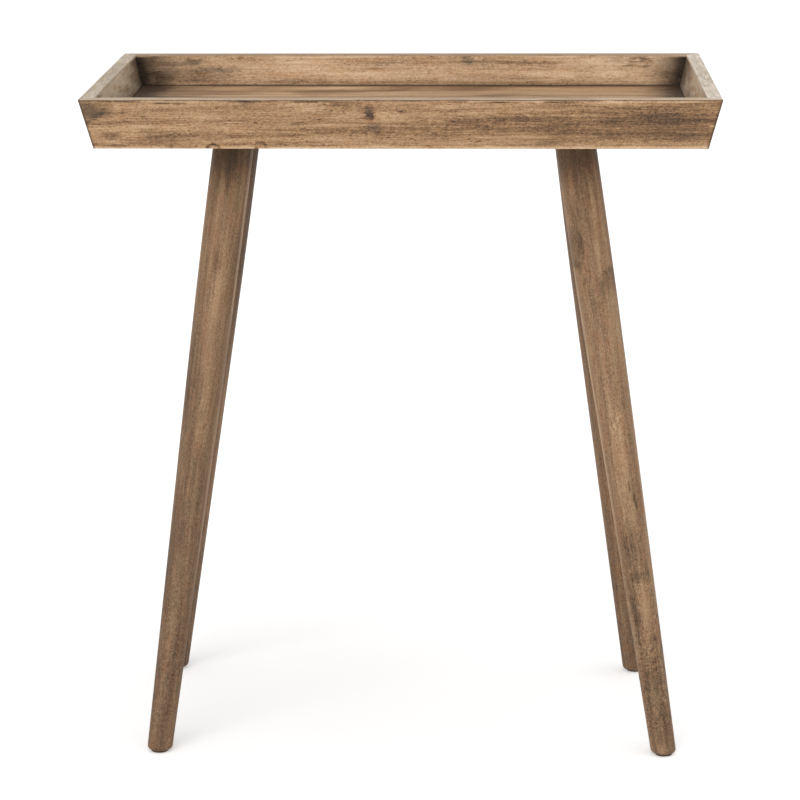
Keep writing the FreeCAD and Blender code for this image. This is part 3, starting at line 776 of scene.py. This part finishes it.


# The first two smudges are painted shadow under the tray.
FRONT_LEFT_SMUDGES = [
    ((-1.0, -22.0), (9.0, 34.0), 0.2, 0.3),
    ((1.0, -48.0), (5.0, 26.0), 0.16, 0.2),
    ((-0.5, -138.0), (6.0, 24.0), 0.18, 0.12),
    ((9.0, -110.0), (8.0, 80.0), -0.08, 0.0),
    ((5.7, -162.0), (7.0, 26.0), -0.14, 0.0),
    ((1.0, -186.0), (7.0, 28.0), -0.14, 0.0),
    ((-3.6, -214.0), (7.0, 30.0), -0.12, 0.0),
    ((8.0, -300.0), (8.0, 100.0), -0.06, 0.0),
    ((0.0, -345.0), (9.0, 80.0), 0.1, 0.0),
    ((-15.0, -260.0), (8.0, 140.0), 0.08, 0.16),
    ((-14.0, -470.0), (8.0, 110.0), 0.06, 0.3),
    ((5.0, -440.0), (6.0, 110.0), -0.1, 0.0),
]
# The first smudge is painted shadow under the tray, and the second, a pale streak, a painted highlight.
FRONT_RIGHT_SMUDGES = [
    ((0.0, -50.0), (26.0, 60.0), 0.14, 0.0),
    ((9.5, -72.0), (4.5, 58.0), -0.26, 0.0),
    ((7.0, -128.0), (4.0, 40.0), -0.22, 0.0),
    ((-8.0, -76.0), (9.0, 30.0), 0.1, 0.05),
    ((-12.0, -98.0), (9.0, 46.0), 0.1, 0.2),
    ((-15.0, -142.0), (3.5, 10.0), 0.2, 0.1),
    ((-12.5, -158.0), (3.5, 12.0), 0.2, 0.1),
    ((14.0, -205.0), (9.0, 50.0), -0.1, 0.0),
    ((-1.0, -205.0), (5.0, 46.0), 0.08, 0.1),
    ((0.0, -330.0), (14.0, 90.0), -0.06, 0.0),
    ((4.4, -391.0), (2.5, 9.0), 0.3, 0.2),
    ((7.2, -404.0), (2.5, 8.0), 0.3, 0.2),
    ((9.0, -412.0), (3.0, 8.0), 0.26, 0.2),
    ((-2.0, -460.0), (13.0, 40.0), 0.24, 0.15),
    ((-1.0, -492.0), (10.0, 12.0), 0.3, 0.2),
    ((9.0, -487.0), (5.0, 14.0), 0.2, 0.2),
    ((4.5, -525.0), (7.0, 40.0), -0.16, 0.0),
    ((-8.0, -470.0), (7.0, 60.0), 0.07, 0.06),
    ((-9.0, -517.0), (6.5, 46.0), 0.14, 0.12),
    ((-8.0, -545.0), (5.0, 44.0), 0.28, 0.2),
    ((-6.0, -602.0), (6.0, 5.0), 0.24, 0.1),
    ((2.0, -600.0), (20.0, 30.0), 0.08, 0.1),
    ((2.0, -640.0), (20.0, 50.0), 0.06, 0.1),
    ((-2.7, -680.0), (6.0, 12.0), 0.14, 0.0),
    ((0.0, -662.0), (22.0, 30.0), 0.1, 0.0),
]
FRONT_RIGHT_ARCHES = [
    ((17.0, -170.0), (14.5, 27.0), (-140.0, -146.0), (-182.0, -160.0)),
    ((-18.0, -115.0), (11.0, 32.0), (-92.0, -112.0), (-148.0, -138.0)),
]
FRONT_RIGHT_RIPPLES = [
    ((0.0, -318.0), (12.0, 22.0)),
]
FRONT_RIGHT_CALM = [
    ((4.5, -530.0), (8.0, 44.0)),
    ((0.0, -688.0), (22.0, 34.0)),
]
dress("hanger_bolts", fastener_zinc)
front_left = LegFinish("front_left_leg_wood", LEFT, FRONT, blank=1)
front_left_wood = leg_wood(
    front_left, tones=(0.56, 0.45, 0.41), mottling=0.12, smudges=FRONT_LEFT_SMUDGES,
    edge=painted_edge_highlight(front_left))
dress("leg_front_left", front_left_wood)
front_right = LegFinish("front_right_leg_wood", RIGHT, FRONT, blank=5)
front_right_wood = leg_wood(
    front_right, tones=(0.605, 0.575, 0.475), mottling=0.3, smudges=FRONT_RIGHT_SMUDGES,
    arches=FRONT_RIGHT_ARCHES, ripples=FRONT_RIGHT_RIPPLES, calm=FRONT_RIGHT_CALM,
    edge=painted_edge_highlight(front_right))
dress("leg_front_right", front_right_wood)
# The back legs' upper tones are darker than the front legs', painted shade under the tray.
back_left = LegFinish("back_left_leg_wood", LEFT, BACK, blank=3)
dress("leg_back_left", leg_wood(back_left, tones=(0.4, 0.57, 0.46), mottling=0.14))
back_right = LegFinish("back_right_leg_wood", RIGHT, BACK, blank=4)
dress("leg_back_right", leg_wood(back_right, tones=(0.5, 0.51, 0.46), mottling=0.1))


# Glides: thin round pads of brown moulded nylon with a nail, tapped in under the feet.
# Their faces are scuffed where they slide on the floor.

NYLON_BROWN = shade("5a4534")
NYLON_SCUFF = shade("8d7763")


def scuffed_nylon():
    """Brown nylon: a fine moulded grain, with paler scuffs on the face that slides."""
    finish = Finish(bpy.data.materials.new("glide_nylon"))
    point = finish.place()
    level = finish.axes(point)[2]
    grain = finish.noise(point, (0.4, 0.4, 0.4), detail=2.0)
    scuffs = finish.noise(point, (5.0, 0.5, 1.0), detail=3.0).between(0.5, 0.7) * level.between(0.5, 0.1)
    colour = finish.mix(scuffs * 0.6, NYLON_BROWN, NYLON_SCUFF)
    roughness = 0.5 + 0.2 * (grain - 0.5) + 0.2 * scuffs
    return finish.surface(colour, roughness, 0.03 * grain, bump=0.5)


glide_nylon = scuffed_nylon()
for corner in CORNERS:
    dress("glide_" + corner, glide_nylon)


# Studio: a wide white floor, a white surround, one broad soft lamp in front and one above.
# The floor is white where it is lit and keeps the table's soft shadow.

STUDIO_HALF = 30.0
FLOOR_WHITE = (0.9, 0.9, 0.9, 1.0)
FLOOR_GLOW = 0.36
SURROUND_WHITE = (0.8, 0.8, 0.8, 1.0)
SURROUND_LIT = 0.45
SURROUND_SEEN = 1.0
floor_mesh = bpy.data.meshes.new("studio_floor")
floor_corners = STUDIO_HALF * np.array([(-1, -1, 0), (1, -1, 0), (1, 1, 0), (-1, 1, 0)])
floor_mesh.from_pydata(floor_corners.tolist(), [], [(0, 1, 2, 3)])
studio_floor = bpy.data.objects.new("studio_floor", floor_mesh)
bpy.context.scene.collection.objects.link(studio_floor)


def studio_white():
    """Matt white floor that is a little brighter to the eye than to the table, and clear from below."""
    finish = Finish(bpy.data.materials.new("studio_white"))
    seen = finish.node("LightPath", output="Is Camera Ray")
    lit = finish.node("BsdfDiffuse", {}, {"Color": FLOOR_WHITE})
    glow = finish.node("Emission", {}, {"Color": (1.0, 1.0, 1.0, 1.0), "Strength": FLOOR_GLOW})
    brighter = finish.node("AddShader", {}, {0: lit, 1: glow})
    white = finish.node("MixShader", {}, {0: seen, 1: lit, 2: brighter})
    clear = finish.node("BsdfTransparent")
    below = finish.node("NewGeometry", output="Backfacing")
    shown = finish.node("MixShader", {}, {0: below, 1: white, 2: clear})
    finish.node("OutputMaterial", {}, {"Surface": shown})
    return finish.owner


def pale_surround():
    """Pale light from all round, at a lower level for the table than for the eye and what it mirrors."""
    finish = Finish(bpy.data.worlds.new("studio_surround"))
    seen = finish.node("LightPath", output="Is Camera Ray")
    mirrored = finish.node("LightPath", output="Is Glossy Ray")
    through = finish.node("LightPath", output="Is Transmission Ray")
    level = SURROUND_LIT + (SURROUND_SEEN - SURROUND_LIT) * seen.most(mirrored).most(through)
    sky = finish.node("Background", {}, {"Color": SURROUND_WHITE, "Strength": level})
    finish.node("OutputWorld", {}, {"Surface": sky})
    return finish.owner


def soft_lamp(name, heading, spread, level):
    """A broad white lamp so far off that it lights the whole floor alike.

    The heading is its turn from the front and its tilt from overhead, in degrees, and a level of 1 shows
    a white sheet held square to the lamp as white.
    """
    lamp = bpy.data.lights.new(name, "SUN")
    lamp.angle = math.radians(spread)
    lamp.energy = level * math.pi
    panel = bpy.data.objects.new(name, lamp)
    panel.rotation_euler = (math.radians(heading[1]), 0.0, math.radians(heading[0]))
    bpy.context.scene.collection.objects.link(panel)


floor_mesh.materials.append(studio_white())
bpy.context.scene.world = pale_surround()
soft_lamp("front_lamp", heading=(-20.0, 58.0), spread=50.0, level=0.42)
soft_lamp("top_lamp", heading=(60.0, 12.0), spread=60.0, level=0.34)

# The camera stands where the photograph was taken from. Its angles are in radians, its focus in pixels.
CAMERA_PLACE = (0.106583, -3.311426, 1.173928)
CAMERA_PITCH = 0.237262
CAMERA_YAW = 0.034472
CAMERA_ROLL = -0.004598
CAMERA_FOCUS = 2975.101
PICTURE_WIDTH = 800.0
camera = bpy.data.cameras.new("studio_camera")
camera.sensor_width = 36.0
camera.lens = CAMERA_FOCUS / PICTURE_WIDTH * camera.sensor_width
camera.clip_end = 200.0
viewpoint = bpy.data.objects.new("studio_camera", camera)
bpy.context.scene.collection.objects.link(viewpoint)
tilt = Matrix.Rotation(math.pi / 2 - CAMERA_PITCH, 4, "X")
turn = Matrix.Rotation(CAMERA_YAW, 4, "Z") @ tilt @ Matrix.Rotation(CAMERA_ROLL, 4, "Z")
viewpoint.matrix_world = Matrix.Translation(CAMERA_PLACE) @ turn
bpy.context.scene.camera = viewpoint
bpy.context.scene.view_settings.view_transform = "Standard"

bpy.context.view_layer.update()
